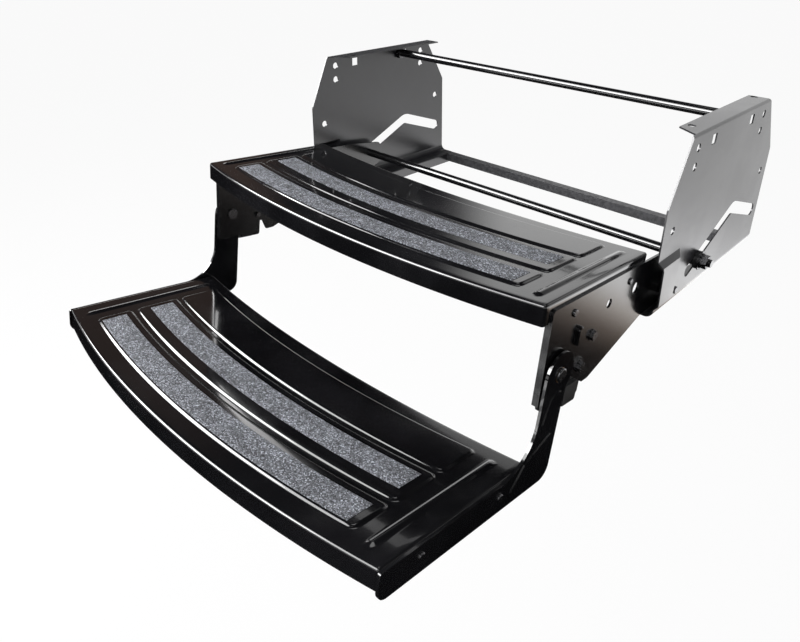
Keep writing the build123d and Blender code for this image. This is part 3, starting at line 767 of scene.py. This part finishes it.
def painted_reflection_finish():
    """Painted dark reflections, glowing dark grey, open to the white wall low down at the back, with a
    painted brown reflection on the left.
    """
    material, tree = new_material("painted_dark_reflections")
    way = new_node(tree, "ShaderNodeVectorMath", operation="NORMALIZE")
    feed(tree, way, n0=new_node(tree, "ShaderNodeNewGeometry").outputs["Position"])
    split = feed(tree, new_node(tree, "ShaderNodeSeparateXYZ"), n0=way.outputs[0]).outputs
    leftward = worked_out(tree, "MULTIPLY", split["X"], -1.0)
    left = worked_out(tree, "ARCTAN2", leftward, split["Y"])
    side = worked_out(tree, "MAXIMUM", remap(tree, left, *PAINTED_DOME_LEFT), remap(tree, left, *PAINTED_DOME_RIGHT))
    cover = worked_out(tree, "MAXIMUM", remap(tree, split["Z"], *PAINTED_DOME_TOP), side)
    shown = worked_out(tree, "MULTIPLY", cover, remap(tree, split["Z"], *PAINTED_DOME_FOOT))
    # Painted brown reflection, where its sides and top allow
    brown_reflection_sides = [remap(tree, left, *limits) for limits in BROWN_REFLECTION_SIDES]
    brown_reflection = worked_out(tree, "MULTIPLY", *brown_reflection_sides)
    brown_reflection = worked_out(tree, "MULTIPLY", brown_reflection, remap(tree, split["Z"], *BROWN_REFLECTION_TOP))
    glow = glow_shader(tree, mixed_colour(tree, brown_reflection, PAINTED_DOME_GREY, BROWN_REFLECTION_COLOUR))
    clear = new_node(tree, "ShaderNodeBsdfTransparent").outputs[0]
    # Painted reflections: glowing dark grey where the dome is shown, clear elsewhere
    finished(tree, mixed_shader(tree, shown, clear, glow))
    return material


def painted_reflection_dome():
    """A glowing dome over the studio, seen only in reflections, that paints dark and brown reflections."""
    mesh = bmesh.new()
    bmesh.ops.create_uvsphere(mesh, u_segments=64, v_segments=32, radius=PAINTED_DOME_RADIUS)
    bmesh.ops.delete(mesh, geom=[v for v in mesh.verts if v.co.z < PAINTED_DOME_RIM], context="VERTS")
    piece = shown_mesh("painted_dark_reflections", mesh, painted_reflection_finish())
    reflected_only(piece)


def softbox(name, direction, distance, size, radiance):
    """A square-on soft lamp of that radiance, aimed at the step."""
    lamp = bpy.data.lights.new(name, "AREA")
    lamp.shape = "RECTANGLE"
    lamp.size, lamp.size_y = size
    lamp.energy = radiance * math.pi * size[0] * size[1]
    lit = bpy.data.objects.new(name, lamp)
    away = Vector(direction).normalized()
    lit.location = Vector(LAMP_AIM) + away * distance
    lit.rotation_euler = away.to_track_quat("Z", "Y").to_euler()
    lit.visible_camera = False
    bpy.context.scene.collection.objects.link(lit)
    return lit


def world_light():
    """A white wall all round, bright where it is seen and dim where it only lights."""
    world = bpy.data.worlds.new("studio")
    bpy.context.scene.world = world
    world.use_nodes = True
    tree = world.node_tree
    tree.nodes.clear()
    back = new_node(tree, "ShaderNodeBackground")
    strength = remap(tree, background_light(tree), 0.0, 1.0, WALL_LIGHT, 1.0)
    feed(tree, back, Color=(1, 1, 1, 1), Strength=strength)
    out = new_node(tree, "ShaderNodeOutputWorld")
    tree.links.new(back.outputs[0], out.inputs["Surface"])


def studio():
    """The floor, the glowing disc and dome that paint reflections round the step, the wall and the lamps."""
    floor()
    # Painted reflections: a glowing disc and a glowing dome, seen only in reflections
    painted_floor_reflection()
    painted_reflection_dome()
    world_light()
    softbox("key_softbox", (-0.613, -0.646, 0.454), distance=2.4, size=(2.6, 1.1), radiance=10.0)
    gleam = softbox("gleam_softbox", (-0.42, -0.70, 0.56), distance=2.6, size=(4.2, 1.8), radiance=6.0)
    gleam.visible_diffuse = False
    softbox("fill_softbox", (0.62, -0.62, 0.50), distance=2.8, size=(1.0, 1.4), radiance=1.6)
    softbox("top_softbox", (0.15, 0.25, 1.0), distance=2.6, size=(1.8, 1.2), radiance=1.6)
    bpy.context.scene.view_settings.view_transform = "Standard"


def camera():
    """The photograph's view: from the front right, a little above."""
    lens = bpy.data.cameras.new("camera")
    lens.sensor_width = 36
    lens.lens = 31.37
    lens.shift_y = -0.095
    lens.clip_start, lens.clip_end = 0.01, 100
    right = Vector((0.72289, 0.69081, 0.01444))
    down = Vector((0.30961, -0.30517, -0.90056))
    ahead = Vector((-0.61771, 0.65548, -0.43449))
    seat = bpy.data.objects.new("camera", lens)
    facing = Matrix((right, -down, -ahead)).transposed().to_4x4()
    seat.matrix_world = Matrix.Translation((0.6135, -0.9493, 0.2319)) @ facing
    bpy.context.scene.collection.objects.link(seat)
    bpy.context.scene.camera = seat


camera()
studio()
finish_nodes()
pressed_tread("upper_pressed_tread", UPPER_TREAD, "upper_tread")
pressed_tread("lower_pressed_tread", LOWER_TREAD, "lower_tread")
for level, tread, seed in (("upper", UPPER_TREAD, 3.0), ("lower", LOWER_TREAD, 11.0)):
    for place, start in zip(("front", "rear"), STRIP_STARTS):
        grit_strip(level + "_grit_strip_" + place, tread, start, level + "_grip_" + place, seed + start)
